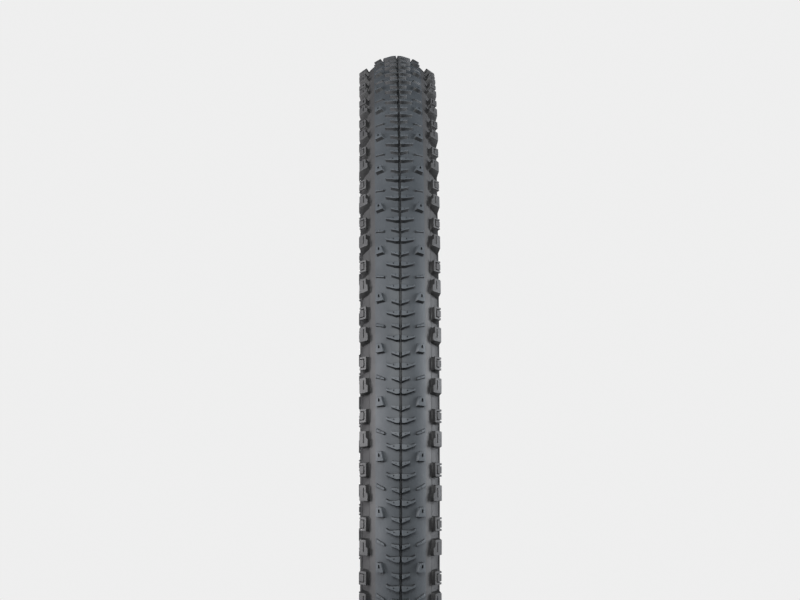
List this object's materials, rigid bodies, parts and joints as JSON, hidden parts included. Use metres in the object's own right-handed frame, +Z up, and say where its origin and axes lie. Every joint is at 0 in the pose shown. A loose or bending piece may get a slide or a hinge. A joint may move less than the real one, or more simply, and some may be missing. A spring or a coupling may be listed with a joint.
{
  "type": "bicycle tyre",
  "caption": "Cross-country mountain bike tyre with V-shaped centre blocks, ramped transition blocks and square shoulder blocks; open beads that hook on a rim.",
  "frame": {"origin": "wheel centre: on the axle, midway between the beads", "axes": "+Y along the axle, towards the tyre's right side; +Z up; the tread is seen face on from +X, where the tips of its V-shaped bars point down"},
  "size_m": [0.744, 0.0624, 0.744],
  "materials": {
    "tread_rubber": "matt black tread rubber, harder centre compound",
    "shoulder_rubber": "matt black tread rubber, softer shoulder compound",
    "sidewall_rubber": "thin satin black rubber skin",
    "filler_rubber": "firm black rubber",
    "liner_rubber": "smooth black airtight rubber",
    "casing_fabric": "rubberised nylon cord, cords at 45 degrees",
    "chafer_fabric": "rubberised square-woven nylon",
    "insert_fabric": "close-woven nylon",
    "belt_fabric": "close-woven aramid and nylon",
    "bead_aramid": "twisted aramid yarn"
  },
  "bodies": {
    "root": {"inner_liner": "liner_rubber", "casing_ply": "casing_fabric", "puncture_belt": "belt_fabric", "bead_core_left": "bead_aramid", "bead_core_right": "bead_aramid", "bead_filler_left": "filler_rubber", "bead_filler_right": "filler_rubber", "chafer_left": "chafer_fabric", "chafer_right": "chafer_fabric", "sidewall_insert_left": "insert_fabric", "sidewall_insert_right": "insert_fabric", "sidewall_left": "sidewall_rubber", "sidewall_right": "sidewall_rubber", "tread_centre": "tread_rubber", "tread_shoulder_left": "shoulder_rubber", "tread_shoulder_right": "shoulder_rubber"}
  },
  "joints": []
}
